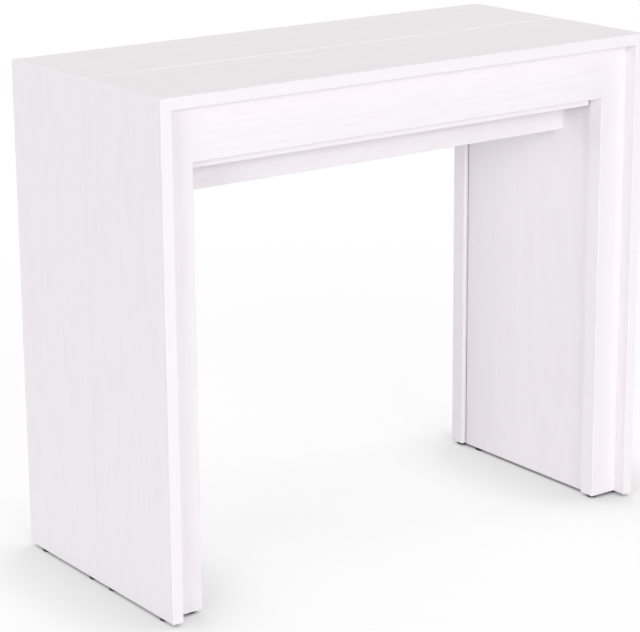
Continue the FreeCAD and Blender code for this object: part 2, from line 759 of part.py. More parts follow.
def make_angle():
    """Make a small folded angle whose corner is at its origin, under a top and against a portal."""
    body = new_body("angle_pattern")
    section = new_sketch(body, "x", "-angle_width / 2")
    draw_outline(section, [
        ("0", "0"), ("0", "-angle_leg"), ("angle_sheet", "-angle_leg"), ("angle_sheet", "-angle_sheet"),
        ("angle_leg", "-angle_sheet"), ("angle_leg", "0"),
    ])
    pad(body, section, "x", "angle_width")
    round_edge(body, "x", ("angle_sheet", "-angle_sheet"), "fold_radius")
    round_edge(body, "x", ("0", "0"), "fold_radius + angle_sheet")
    hole = f"angle_leg * {ANGLE_SCREW_SHARE}"
    drill(body, "z", "-angle_sheet", 1, [("0", hole)], SCREW_HOLE, "angle_sheet")
    drill(body, "y", "angle_sheet", -1, [("0", f"-{hole}")], SCREW_HOLE, "angle_sheet")
    return body


def short_screws(half):
    """Return the places and turns of a half's short screws, in hangers and angles."""
    places = []
    for index, (x, y) in enumerate(top_screw_places(half)):
        sheet_name = "hanger_sheet" if index < len(SIDES) * len(HANGER_SCREW_SHARES) else "angle_sheet"
        places.append(((x, y, f"{TOP_UNDERSIDE} - {sheet_name}"), facing(UP)))
    face, way = hanger_face(half)
    for side in SIDES.values():
        for depth in hanger_screw_depths(half):
            x = f"{side} * ({face} + {way} * hanger_sheet)"
            places.append(((x, depth, f"{RAIL_MIDDLE} - {CHAMBER_MIDDLE}"), facing(ACROSS * (-side * way))))
    for x in angle_places():
        y = f"{half} * ({portal_face(half)} - angle_sheet)"
        places.append(((x, y, f"{TOP_UNDERSIDE} - angle_leg * {ANGLE_SCREW_SHARE}"), facing(BACK * half)))
    return places


def frame_screws():
    """Return the places and turns of the long screws in the batten and the stretcher."""
    places = [((x, f"-{BATTEN_INNER}", BATTEN_SCREW_HEIGHT), facing(-BACK)) for x in batten_screws()]
    for side in SIDES.values():
        for height in stretcher_screw_heights():
            x = f"{side} * ({PANEL_INNER} + panel_board)"
            places.append(((x, STRETCHER_MIDDLE, height), facing(ACROSS * -side)))
    return places


def dowels(half):
    """Return the places and turns of a half's dowels, each at the middle of the joint that it crosses."""
    places = []
    for side in SIDES.values():
        for height in apron_dowel_heights():
            places.append(((f"{side} * {POST_INNER}", f"{half} * {PORTAL_MIDDLE}", height), facing(ACROSS)))
        if half < 0:
            for height in panel_dowel_heights():
                places.append(((f"{side} * {PANEL_MIDDLE}", f"-{PORTAL_INNER}", height), facing(BACK)))
    return places


def glides(half):
    """Return the places and turns of a half's glides."""
    places = []
    for side in SIDES.values():
        places += side_glides(half, side) + post_glides(half, side)
        if half < 0:
            places += panel_glides(side)
    return [((x, y, "0"), facing(UP)) for x, y in places]


def stop_pins(stage):
    """Return the places and turns of a stage's stop pins."""
    inside = f"({rail_outer(stage)} - rail_width)"
    depth = f"{RAIL_START} + stop_inset"
    height = f"{RAIL_MIDDLE} + {CHAMBER_MIDDLE}"
    return [((f"{side} * {inside}", depth, height), facing(ACROSS * -side)) for side in SIDES.values()]


def seam_places(depth):
    """Return the places of the three pins or sockets along the seam."""
    height = f"{TOP_UNDERSIDE} + shell_board / 2"
    return [((f"{step} * leaf_pin_spacing", depth, height), facing(BACK)) for step in (-1, 0, 1)]


# Patterns of the small repeated pieces
short_screw = screw("short_screw_pattern", "short_screw_length")
bar_screw = screw("bar_screw_pattern", "bar_screw_length")
frame_screw = screw("frame_screw_pattern", "frame_screw_length")
dowel_end = "dowel_length / 2"
dowel = turned("dowel_pattern", [
    ("0", f"-{dowel_end}"), ("dowel_radius - edge_break", f"-{dowel_end}"),
    ("dowel_radius", f"edge_break - {dowel_end}"), ("dowel_radius", f"{dowel_end} - edge_break"),
    ("dowel_radius - edge_break", dowel_end), ("0", dowel_end),
])
glide_round = f"(glide_height * {GLIDE_ROUND_SHARE})"
glide = turned("glide_pattern", [
    ("0", "0"), (f"glide_radius - {glide_round}", "0"), ("glide_radius", glide_round),
    ("glide_radius", "glide_height"), ("glide_stem_radius", "glide_height"),
    ("glide_stem_radius", "glide_height + glide_stem_length"), ("0", "glide_height + glide_stem_length"),
])
stop_pin = turned("stop_pin_pattern", [
    ("0", "-(rail_wall + stop_reach)"), ("stop_radius", "-(rail_wall + stop_reach)"),
    ("stop_radius", "rail_gap + rail_wall + stop_reach"), ("0", "rail_gap + rail_wall + stop_reach"),
])
leaf_pin = turned("leaf_pin_pattern", [
    ("0", "-leaf_pin_seat"), ("leaf_pin_radius", "-leaf_pin_seat"),
    ("leaf_pin_radius", "leaf_pin_reach - edge_break"), ("leaf_pin_radius - edge_break", "leaf_pin_reach"),
    ("0", "leaf_pin_reach"),
])
socket_bore = "leaf_pin_radius + slide_clearance"
socket_rim = f"{socket_bore} + socket_wall"
socket_floor = "socket_length - socket_wall"
leaf_socket = turned("leaf_socket_pattern", [
    (socket_bore, "0"), (socket_rim, "0"), (socket_rim, "socket_length"),
    ("0", "socket_length"), ("0", socket_floor), (socket_bore, socket_floor),
])
angle = make_angle()

# Boards of the two halves
for name, half in HALVES.items():
    add_top(name, half)
    add_apron(name, half)
    for hand, side in SIDES.items():
        add_side(name, half, hand, side)
        add_post(name, half, hand, side)
add_batten()
add_stretcher()
for hand, side in SIDES.items():
    add_leg_panel(hand, side)

# Telescopic guides
for stage in range(RAIL_COUNT):
    for hand, side in SIDES.items():
        add_rail(stage, hand, side)
    if stage < RAIL_COUNT - 1:
        group(f"stop_pins_{stage}", stop_pin, stop_pins(stage))
for stage in range(1, RAIL_COUNT - 1):
    add_crossbar(stage)
    bar_screws = [((x, y, BAR_UNDERSIDE), facing(UP)) for x, y in bar_screw_places(stage)]
    group(f"crossbar_screws_{stage}", bar_screw, bar_screws)

# Hardware of the two halves
for name, half in HALVES.items():
    turn = FreeCAD.Rotation(UP, 180 if half > 0 else 0)
    add_hangers(name, half)
    corners = [(x, f"{half} * {portal_face(half)}", TOP_UNDERSIDE) for x in angle_places()]
    group(f"{name}_angles", angle, [(corner, turn) for corner in corners])
    group(f"{name}_screws", short_screw, short_screws(half))
    group(f"{name}_dowels", dowel, dowels(half))
    group(f"{name}_glides", glide, glides(half))
group("front_frame_screws", frame_screw, frame_screws())
group("leaf_pins", leaf_pin, seam_places(f"-{SEAM}"))
group("leaf_sockets", leaf_socket, seam_places(SEAM))

doc.recompute()

# Every object is sound, every cut removed something, and every sub-part is made of valid solids
for item in doc.Objects:
    if {"Invalid", "Error"} & set(item.State):
        raise RuntimeError(f"{item.Label} did not build: {item.State}")
    if item.TypeId == "PartDesign::Pocket" and item.Shape.Volume >= item.BaseFeature.Shape.Volume:
        raise RuntimeError(f"{item.Label} cuts nothing")
for item in sub_parts:
    if item.Shape.isNull() or not item.Shape.isValid() or not item.Shape.Solids:
        raise RuntimeError(f"{item.Label} has no valid solid")

os.makedirs("parts", exist_ok=True)
for item in sub_parts:
    item.Shape.exportStep(f"parts/{item.Label}.step")
print(f"{len(sub_parts)} sub-parts, {sum(len(item.Shape.Solids) for item in sub_parts)} solids")
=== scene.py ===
"""Looks of an extending console table: white ash-grained boards on two telescopic guides.

Lengths are in metres, in the frame's own axes: X along the top, the front faces -Y, +Z is up.
"""

import json
import logging
import math
from abc import ABC, abstractmethod
from dataclasses import dataclass
from enum import Enum
from typing import Any, ClassVar

import bmesh
import bpy
from mathutils import Matrix, Vector


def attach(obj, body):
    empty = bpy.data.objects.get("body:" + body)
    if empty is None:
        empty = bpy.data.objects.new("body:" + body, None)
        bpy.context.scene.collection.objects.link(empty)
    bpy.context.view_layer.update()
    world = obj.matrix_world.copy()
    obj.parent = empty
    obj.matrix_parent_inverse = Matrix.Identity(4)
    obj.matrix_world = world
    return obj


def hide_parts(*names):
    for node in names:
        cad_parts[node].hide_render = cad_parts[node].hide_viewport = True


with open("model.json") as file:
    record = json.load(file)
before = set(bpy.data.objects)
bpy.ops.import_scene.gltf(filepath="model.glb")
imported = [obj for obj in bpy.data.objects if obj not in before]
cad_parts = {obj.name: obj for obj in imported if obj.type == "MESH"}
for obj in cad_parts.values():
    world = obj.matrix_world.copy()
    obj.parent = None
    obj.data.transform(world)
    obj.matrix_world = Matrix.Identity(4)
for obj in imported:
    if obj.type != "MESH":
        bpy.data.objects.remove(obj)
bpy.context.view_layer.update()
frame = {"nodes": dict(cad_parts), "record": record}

LOG = logging.getLogger("console_table")
MM = 0.001
MERGE_DISTANCE = 0.001 * MM
HALVES = ("front", "rear")
SIDES = ("left", "right")
BODY_OF = {node: body for body, nodes in frame["record"]["behaviour"]["bodies"].items() for node in nodes}

# Sockets of a Mix node that share their names with others
MIX_FACTOR = 0
MIX_NUMBERS = (2, 3)
MIX_NUMBER_RESULT = 0
MIX_COLOURS = (6, 7)
MIX_COLOUR_RESULT = 2

# A ping-pong of this scale rises to it and falls again once per unit
HALF_PERIOD = 0.5
# A grid of size 1 starts this far below zero
GRID_HALF = 0.5
BAND_SIZES = ("Start Radius", "Start Height", "Start Ridge", "End Radius", "End Height", "End Ridge")

Amount = bpy.types.NodeSocket | float


class Axis(Enum):
    """A direction of the frame, by its place in a vector."""

    X = 0
    Y = 1
    Z = 2


def linear(colour: str) -> tuple[float, float, float, float]:
    """Turns an sRGB hex colour to the linear colour that a socket takes.

    Args:
        colour: Six hex digits after a hash sign.

    Returns:
        Linear red, green and blue, and an alpha of 1.
    """
    parts = [int(colour[i:i + 2], 16) / 255 for i in (1, 3, 5)]
    red, green, blue = (p / 12.92 if p <= 0.04045 else ((p + 0.055) / 1.055) ** 2.4 for p in parts)
    return red, green, blue, 1.0


def set_inputs(tree: bpy.types.NodeTree, node: bpy.types.Node, inputs: dict[str | int, Any]) -> None:
    """Sets inputs of a node, each to a value or to a link.

    Args:
        tree: The node's tree.
        node: The node whose inputs are set.
        inputs: A value, or a socket to link from, for each input by name or place.
    """
    for key, value in inputs.items():
        if isinstance(value, bpy.types.NodeSocket):
            tree.links.new(value, node.inputs[key])
        else:
            node.inputs[key].default_value = value


def add_node(tree: bpy.types.NodeTree, kind: str, inputs: dict[str | int, Any] | None = None,
             **settings: Any) -> bpy.types.Node:
    """Adds a node to a tree with its settings, values and links.

    Args:
        tree: The node tree that gets the node.
        kind: Blender's name for the kind of node.
        inputs: A value, or a socket to link from, for each input by name or place.
        **settings: Properties of the node itself.

    Returns:
        The new node.
    """
    node = tree.nodes.new(kind)
    for name, value in settings.items():
        setattr(node, name, value)
    set_inputs(tree, node, inputs or {})
    return node


def along(axis: Axis, stretch: float) -> tuple[float, float, float]:
    """Returns a scale that draws a pattern out by stretch along one axis."""
    return tuple(1 / stretch if place is axis else 1.0 for place in Axis)


class Finish(ABC):
    """A surface finish, which makes its material once."""

    slot: ClassVar[str]

    @property
    @abstractmethod
    def title(self) -> str:
        """The material's name."""

    @abstractmethod
    def paint(self, tree: bpy.types.NodeTree, shader: bpy.types.Node) -> None:
        """Adds the finish's pattern to its node tree.

        Args:
            tree: The material's node tree.
            shader: Its Principled shader.
        """

    def material(self) -> bpy.types.Material:
        """Makes the finish's material at the first call.

        Returns:
            The one material of that title.
        """
        made = bpy.data.materials.get(self.title)
        if made is None:
            made = bpy.data.materials.new(self.title)
            made.use_nodes = True
            self.paint(made.node_tree, made.node_tree.nodes["Principled BSDF"])
        return made


@dataclass(frozen=True)
class AshMelamine(Finish):
    """White melamine, pressed with ash grain on chipboard: satin, with faint arches and smooth edge bands."""

    slot: ClassVar[str] = "white_ash_melamine"
    grain: Axis
    banded: Axis
    board: str = "#F2EDF0"
    figure: str = "#F0EAED"
    band: str = "#F1ECEF"
    figure_width: float = 46 * MM
    figure_stretch: float = 11.0
    figure_detail: float = 1.5
    figure_unrest: float = 0.35
    figure_lines: float = 9.0
    ring_reach: float = 0.32
    ring_shade: float = 0.45
    pore_width: float = 1.6 * MM
    pore_stretch: float = 26.0
    pore_detail: float = 2.0
    pore_cut: tuple[float, float] = (0.56, 0.70)
    band_cut: tuple[float, float] = (0.4, 0.6)
    roughness: tuple[float, float] = (0.40, 0.56)
    relief: float = 0.06 * MM
    relief_strength: float = 0.4

    @property
    def title(self) -> str:
        """The material's name, with the way of the grain and of the banded edges."""
        return f"white_ash_melamine_grain_{self.grain.name}_band_{self.banded.name}".lower()

    def paint(self, tree: bpy.types.NodeTree, shader: bpy.types.Node) -> None:
        """Draws faint arched figure and embossed pores, and leaves the bands smooth.

        Args:
            tree: The material's node tree.
            shader: Its Principled shader.
        """
        place = add_node(tree, "ShaderNodeTexCoord")
        drawn = add_node(tree, "ShaderNodeMapping",
                         {"Vector": place.outputs["Object"], "Scale": along(self.grain, self.figure_stretch)})
        swell = add_node(tree, "ShaderNodeTexNoise",
                         {"Vector": drawn.outputs[0], "Scale": 1 / self.figure_width,
                          "Detail": self.figure_detail, "Roughness": self.figure_unrest})
        # Level lines of a drawn-out swell are the arches that a flat-sawn board shows
        count = add_node(tree, "ShaderNodeMath", {0: swell.outputs[0], 1: self.figure_lines},
                         operation="MULTIPLY")
        arch = add_node(tree, "ShaderNodeMath", {0: count.outputs[0], 1: HALF_PERIOD}, operation="PINGPONG")
        ring = add_node(tree, "ShaderNodeMapRange",
                        {"Value": arch.outputs[0], "From Max": self.ring_reach, "To Min": 1.0, "To Max": 0.0},
                        interpolation_type="SMOOTHSTEP")
        # Real pores are about 0.3 mm wide: they are drawn coarser, so that they show
        thin = add_node(tree, "ShaderNodeMapping",
                        {"Vector": place.outputs["Object"], "Scale": along(self.grain, self.pore_stretch)})
        speck = add_node(tree, "ShaderNodeTexNoise",
                         {"Vector": thin.outputs[0], "Scale": 1 / self.pore_width,
                          "Detail": self.pore_detail})
        shallow, deep = self.pore_cut
        pore = add_node(tree, "ShaderNodeMapRange",
                        {"Value": speck.outputs[0], "From Min": shallow, "From Max": deep})
        pore_in_ring = add_node(tree, "ShaderNodeMath", {0: pore.outputs[0], 1: ring.outputs[0]},
                                operation="MULTIPLY")
        # The edge bands are the faces square to the banded axis, and their broken corners
        facing = add_node(tree, "ShaderNodeSeparateXYZ", {0: place.outputs["Normal"]})
        turned = add_node(tree, "ShaderNodeMath", {0: facing.outputs[self.banded.value]},
                          operation="ABSOLUTE")
        slanted, square = self.band_cut
        band = add_node(tree, "ShaderNodeMapRange",
                        {"Value": turned.outputs[0], "From Min": slanted, "From Max": square})
        bare = add_node(tree, "ShaderNodeMath", {0: 1.0, 1: band.outputs[0]}, operation="SUBTRACT")

        shade = add_node(tree, "ShaderNodeMath",
                         {0: ring.outputs[0], 1: self.ring_shade, 2: pore_in_ring.outputs[0]},
                         operation="MULTIPLY_ADD")
        a, b = MIX_COLOURS
        grained = add_node(tree, "ShaderNodeMix",
                           {MIX_FACTOR: shade.outputs[0], a: linear(self.board), b: linear(self.figure)},
                           data_type="RGBA")
        colour = add_node(tree, "ShaderNodeMix",
                          {MIX_FACTOR: band.outputs[0], a: grained.outputs[MIX_COLOUR_RESULT],
                           b: linear(self.band)}, data_type="RGBA")
        smooth, rough = self.roughness
        gloss = add_node(tree, "ShaderNodeMapRange",
                         {"Value": pore_in_ring.outputs[0], "To Min": smooth, "To Max": rough})
        sunk = add_node(tree, "ShaderNodeMath", {0: shade.outputs[0], 1: bare.outputs[0]},
                        operation="MULTIPLY")
        bump = add_node(tree, "ShaderNodeBump",
                        {"Height": sunk.outputs[0], "Strength": self.relief_strength,
                         "Distance": self.relief}, invert=True)
        set_inputs(tree, shader, {"Base Color": colour.outputs[MIX_COLOUR_RESULT],
                                  "Roughness": gloss.outputs[0], "Normal": bump.outputs[0]})


@dataclass(frozen=True)
class AnodisedAluminium(Finish):
    """Extruded aluminium, anodised: a silky grey with fine lines along the pull of the die."""

    slot: ClassVar[str] = "anodised_aluminium"
    pulled: Axis
    bright: str = "#B9BBBE"
    dark: str = "#9B9EA2"
    line_width: float = 0.9 * MM
    line_stretch: float = 300.0
    line_detail: float = 3.0
    roughness: tuple[float, float] = (0.34, 0.52)
    relief: float = 0.02 * MM
    relief_strength: float = 0.4

    @property
    def title(self) -> str:
        """The material's name, with the way the lines run."""
        return f"anodised_aluminium_{self.pulled.name}".lower()

    def paint(self, tree: bpy.types.NodeTree, shader: bpy.types.Node) -> None:
        """Draws the die lines in colour, gloss and relief.

        Args:
            tree: The material's node tree.
            shader: Its Principled shader.
        """
        place = add_node(tree, "ShaderNodeTexCoord")
        drawn = add_node(tree, "ShaderNodeMapping",
                         {"Vector": place.outputs["Object"], "Scale": along(self.pulled, self.line_stretch)})
        line = add_node(tree, "ShaderNodeTexNoise",
                        {"Vector": drawn.outputs[0], "Scale": 1 / self.line_width,
                         "Detail": self.line_detail})
        a, b = MIX_COLOURS
        colour = add_node(tree, "ShaderNodeMix",
                          {MIX_FACTOR: line.outputs[0], a: linear(self.bright), b: linear(self.dark)},
                          data_type="RGBA")
        smooth, rough = self.roughness
        gloss = add_node(tree, "ShaderNodeMapRange",
                         {"Value": line.outputs[0], "To Min": smooth, "To Max": rough})
        bump = add_node(tree, "ShaderNodeBump",
                        {"Height": line.outputs[0], "Strength": self.relief_strength,
                         "Distance": self.relief})
        set_inputs(tree, shader, {"Metallic": 1.0, "Base Color": colour.outputs[MIX_COLOUR_RESULT],
                                  "Roughness": gloss.outputs[0], "Normal": bump.outputs[0]})


@dataclass(frozen=True)
class ZincPlatedSteel(Finish):
    """Pressed steel with bright zinc plating: cool grey, with faint cloudy patches of duller zinc."""

    slot: ClassVar[str] = "zinc_plated_steel"
    bright: str = "#B9BDC2"
    dull: str = "#9DA2A8"
    patch_width: float = 7 * MM
    patch_detail: float = 4.0
    grit: float = 0.7 * MM
    grit_detail: float = 1.0
    grit_strength: float = 0.15
    roughness: tuple[float, float] = (0.28, 0.52)

    @property
    def title(self) -> str:
        """The material's name."""
        return "zinc_plated_steel"

    def paint(self, tree: bpy.types.NodeTree, shader: bpy.types.Node) -> None:
        """Clouds the plating and roughens it a little.

        Args:
            tree: The material's node tree.
            shader: Its Principled shader.
        """
        place = add_node(tree, "ShaderNodeTexCoord").outputs["Object"]
        cloud = add_node(tree, "ShaderNodeTexNoise",
                         {"Vector": place, "Scale": 1 / self.patch_width, "Detail": self.patch_detail})
        grit = add_node(tree, "ShaderNodeTexNoise",
                        {"Vector": place, "Scale": 1 / self.grit, "Detail": self.grit_detail})
        a, b = MIX_COLOURS
        colour = add_node(tree, "ShaderNodeMix",
                          {MIX_FACTOR: cloud.outputs[0], a: linear(self.bright), b: linear(self.dull)},
                          data_type="RGBA")
        smooth, rough = self.roughness
        gloss = add_node(tree, "ShaderNodeMapRange",
                         {"Value": cloud.outputs[0], "To Min": smooth, "To Max": rough})
        bump = add_node(tree, "ShaderNodeBump",
                        {"Height": grit.outputs[0], "Strength": self.grit_strength, "Distance": self.grit})
        set_inputs(tree, shader, {"Metallic": 1.0, "Base Color": colour.outputs[MIX_COLOUR_RESULT],
                                  "Roughness": gloss.outputs[0], "Normal": bump.outputs[0]})


@dataclass(frozen=True)
class MouldedNylon(Finish):
    """Black nylon from a spark-eroded mould: a matt skin of fine grit."""

    slot: ClassVar[str] = "black_nylon"
    black: str = "#18181A"
    scuffed: str = "#2A2A2C"
    scuff_width: float = 5 * MM
    scuff_detail: float = 5.0
    grit: float = 0.5 * MM
    grit_detail: float = 1.0
    grit_strength: float = 0.3
    roughness: tuple[float, float] = (0.42, 0.62)

    @property
    def title(self) -> str:
        """The material's name."""
        return "moulded_black_nylon"

    def paint(self, tree: bpy.types.NodeTree, shader: bpy.types.Node) -> None:
        """Draws the grit in relief and pale scuffs in the colour.

        Args:
            tree: The material's node tree.
            shader: Its Principled shader.
        """
        place = add_node(tree, "ShaderNodeTexCoord").outputs["Object"]
        grit = add_node(tree, "ShaderNodeTexNoise",
                        {"Vector": place, "Scale": 1 / self.grit, "Detail": self.grit_detail})
        scuff = add_node(tree, "ShaderNodeTexNoise",
                         {"Vector": place, "Scale": 1 / self.scuff_width, "Detail": self.scuff_detail})
        a, b = MIX_COLOURS
        colour = add_node(tree, "ShaderNodeMix",
                          {MIX_FACTOR: scuff.outputs[0], a: linear(self.black), b: linear(self.scuffed)},
                          data_type="RGBA")
        smooth, rough = self.roughness
        gloss = add_node(tree, "ShaderNodeMapRange",
                         {"Value": scuff.outputs[0], "To Min": smooth, "To Max": rough})
        bump = add_node(tree, "ShaderNodeBump",
                        {"Height": grit.outputs[0], "Strength": self.grit_strength, "Distance": self.grit})
        set_inputs(tree, shader, {"Base Color": colour.outputs[MIX_COLOUR_RESULT],
                                  "Roughness": gloss.outputs[0], "Normal": bump.outputs[0]})


@dataclass(frozen=True)
class TurnedBeech(Finish):
    """Untreated beech, turned to a rod: warm and even, with short dark flecks along the grain."""

    slot: ClassVar[str] = "beech"
    grain: Axis
    wood: str = "#CDA376"
    fleck: str = "#9A6B42"
    fleck_width: float = 0.6 * MM
    fleck_stretch: float = 9.0
    fleck_detail: float = 2.0
    fleck_cut: tuple[float, float] = (0.48, 0.72)
    fleck_strength: float = 0.2
    roughness: float = 0.62

    @property
    def title(self) -> str:
        """The material's name, with the way the grain runs."""
        return f"turned_beech_{self.grain.name}".lower()

    def paint(self, tree: bpy.types.NodeTree, shader: bpy.types.Node) -> None:
        """Draws the flecks in colour and relief.

        Args:
            tree: The material's node tree.
            shader: Its Principled shader.
        """
        place = add_node(tree, "ShaderNodeTexCoord")
        drawn = add_node(tree, "ShaderNodeMapping",
                         {"Vector": place.outputs["Object"], "Scale": along(self.grain, self.fleck_stretch)})
        speck = add_node(tree, "ShaderNodeTexNoise",
                         {"Vector": drawn.outputs[0], "Scale": 1 / self.fleck_width,
                          "Detail": self.fleck_detail})
        pale, dark = self.fleck_cut
        fleck = add_node(tree, "ShaderNodeMapRange",
                         {"Value": speck.outputs[0], "From Min": pale, "From Max": dark})
        a, b = MIX_COLOURS
        colour = add_node(tree, "ShaderNodeMix",
                          {MIX_FACTOR: fleck.outputs[0], a: linear(self.wood), b: linear(self.fleck)},
                          data_type="RGBA")
        bump = add_node(tree, "ShaderNodeBump",
                        {"Height": speck.outputs[0], "Strength": self.fleck_strength,
                         "Distance": self.fleck_width})
        set_inputs(tree, shader, {"Base Color": colour.outputs[MIX_COLOUR_RESULT],
                                  "Roughness": self.roughness, "Normal": bump.outputs[0]})


def dress(node: str, finish: Finish) -> None:
    """Gives a node of the frame its finish.

    Args:
        node: The node's name.
        finish: The finish of all its surfaces.
    """
    shown = frame["nodes"][node]
    shown.data.materials.clear()
    shown.data.materials.append(finish.material())
    LOG.info("%s on %s: %s", node, BODY_OF[node], finish.title)


@dataclass(frozen=True)
class Station:
    """Where one rod-shaped piece sits: its middle, the way its head points, and its sizes."""

    middle: Vector
    headward: Vector
    length: float
    radius: float
    end_share: ClassVar[float] = 0.3

    @classmethod
    def all_in(cls, node: str) -> list["Station"]:
        """Measures each solid of a node.

        Args:
            node: A node of the frame whose solids are rods along one axis each.

        Returns:
            A station for each solid, in the order of the node's mesh.
        """
        solids = bmesh.new()
        solids.from_mesh(frame["nodes"][node].data)
        bmesh.ops.remove_doubles(solids, verts=solids.verts, dist=MERGE_DISTANCE)
        left = set(solids.verts)
        stations = []
        for seed in solids.verts:
            if seed not in left:
                continue
            left.discard(seed)
            found = [seed]
            for vertex in found:
                near = {edge.other_vert(vertex) for edge in vertex.link_edges} & left
                left -= near
                found.extend(near)
            stations.append(cls.around([vertex.co.copy() for vertex in found]))
        solids.free()
        return stations

    @classmethod
    def around(cls, points: list[Vector]) -> "Station":
        """Measures one rod.

        Args:
            points: The rod's corner points.

        Returns:
            Its station: the head is at the end with the wider points.
        """
        low = Vector(min(p[axis.value] for p in points) for axis in Axis)
        high = Vector(max(p[axis.value] for p in points) for axis in Axis)
        size = high - low
        long = max((axis.value for axis in Axis), key=lambda i: size[i])
        middle = (low + high) / 2
        end_start = size[long] * cls.end_share

        def off_axis(point: Vector) -> float:
            """Measures how far a point is from the rod's axis.

            Args:
                point: A point of the rod.

            Returns:
                Its distance square to the axis.
            """
            offset = point - middle
            offset[long] = 0
            return offset.length

        reach = {end: max(off_axis(p) for p in points if (p - middle)[long] * end > end_start)
                 for end in (1, -1)}
        headward = Vector((0, 0, 0))
        headward[long] = 1 if reach[1] >= reach[-1] else -1
        return cls(middle, headward, size[long], max(reach.values()))


class TurnedTree(ABC):
    """A geometry node tree that turns a profile and sets a copy of it at each station."""

    ridge_starts: ClassVar[int]
    segments: ClassVar[int]
    crease: ClassVar[float] = math.radians(32)
    twist_seed: ClassVar[int] = 7

    def __init__(self, title: str) -> None:
        """Starts the tree.

        Args:
            title: The tree's name.
        """
        self.tree = bpy.data.node_groups.new(title, "GeometryNodeTree")
        self.tree.interface.new_socket("Stations", in_out="INPUT", socket_type="NodeSocketGeometry")
        self.tree.interface.new_socket("Pieces", in_out="OUTPUT", socket_type="NodeSocketGeometry")
        self.entry = add_node(self.tree, "NodeGroupInput")
        self.pitch: Amount = 0.0
        self.bands: list[bpy.types.NodeSocket] = []

    def size(self, name: str, kind: str = "NodeSocketFloat") -> bpy.types.NodeSocket:
        """Adds a named input to the tree and returns its socket inside it."""
        self.tree.interface.new_socket(name, in_out="INPUT", socket_type=kind)
        return self.entry.outputs[name]

    def share(self, size: bpy.types.NodeSocket, part: float) -> bpy.types.NodeSocket:
        """Returns a socket with a share of a size."""
        return add_node(self.tree, "ShaderNodeMath", {0: size, 1: part}, operation="MULTIPLY").outputs[0]

    def band(self, start: tuple[Amount, Amount, Amount], end: tuple[Amount, Amount, Amount],
             rows: Amount = 1) -> None:
        """Adds a band of the turned surface between two profile points.

        Args:
            start: Radius, height and ridge share where the band starts.
            end: Radius, height and ridge share where it ends, so that the solid lies on its left.
            rows: How many rows of faces the band has.
        """
        inputs = dict(zip(BAND_SIZES, start + end))
        inputs |= {"Rows": rows, "Segments": self.segments, "Starts": self.ridge_starts, "Pitch": self.pitch}
        made = add_node(self.tree, "GeometryNodeGroup", inputs, node_tree=band_of_revolution())
        self.bands.append(made.outputs[0])

    @abstractmethod
    def shape(self) -> bpy.types.NodeSocket:
        """Adds the named inputs and the profile.

        Returns:
            The turned piece.
        """

    def closed(self) -> bpy.types.NodeSocket:
        """Joins the bands at their rims.

        Returns:
            One closed surface.
        """
        joined = add_node(self.tree, "GeometryNodeJoinGeometry")
        for band in self.bands:
            self.tree.links.new(band, joined.inputs[0])
        return add_node(self.tree, "GeometryNodeMergeByDistance",
                        {"Geometry": joined.outputs[0], "Distance": MERGE_DISTANCE}).outputs[0]

    def finished(self) -> bpy.types.NodeTree:
        """Completes the tree: copies at the stations, shaded, real and with their material.

        Returns:
            The whole tree.
        """
        piece = self.shape()
        material = self.size("Finish", "NodeSocketMaterial")
        smooth = add_node(self.tree, "GeometryNodeSetShadeSmooth", {"Geometry": piece}, domain="FACE")
        angle = add_node(self.tree, "GeometryNodeInputMeshEdgeAngle")
        sharp = add_node(self.tree, "FunctionNodeCompare", {0: angle.outputs[0], 1: self.crease},
                         operation="GREATER_THAN")
        crisp = add_node(self.tree, "GeometryNodeSetShadeSmooth",
                         {"Geometry": smooth.outputs[0], "Selection": sharp.outputs[0],
                          "Shade Smooth": False}, domain="EDGE")
        headward = add_node(self.tree, "GeometryNodeInputNamedAttribute", {"Name": "headward"},
                            data_type="FLOAT_VECTOR")
        upright = add_node(self.tree, "FunctionNodeAlignRotationToVector",
                           {"Vector": headward.outputs["Attribute"]}, axis="Z")
        twist = add_node(self.tree, "FunctionNodeRandomValue", {"Max": math.tau, "Seed": self.twist_seed},
                         data_type="FLOAT")
        spin = add_node(self.tree, "FunctionNodeAxisAngleToRotation",
                        {"Axis": (0.0, 0.0, 1.0), "Angle": twist.outputs["Value"]})
        turned = add_node(self.tree, "FunctionNodeRotateRotation",
                          {"Rotation": upright.outputs[0], "Rotate By": spin.outputs[0]},
                          rotation_space="LOCAL")
        copies = add_node(self.tree, "GeometryNodeInstanceOnPoints",
                          {"Points": self.entry.outputs["Stations"], "Instance": crisp.outputs[0],
                           "Rotation": turned.outputs[0]})
        real = add_node(self.tree, "GeometryNodeRealizeInstances", {0: copies.outputs[0]})
        dressed = add_node(self.tree, "GeometryNodeSetMaterial",
                           {"Geometry": real.outputs[0], "Material": material})
        add_node(self.tree, "NodeGroupOutput", {0: dressed.outputs[0]})
        return self.tree


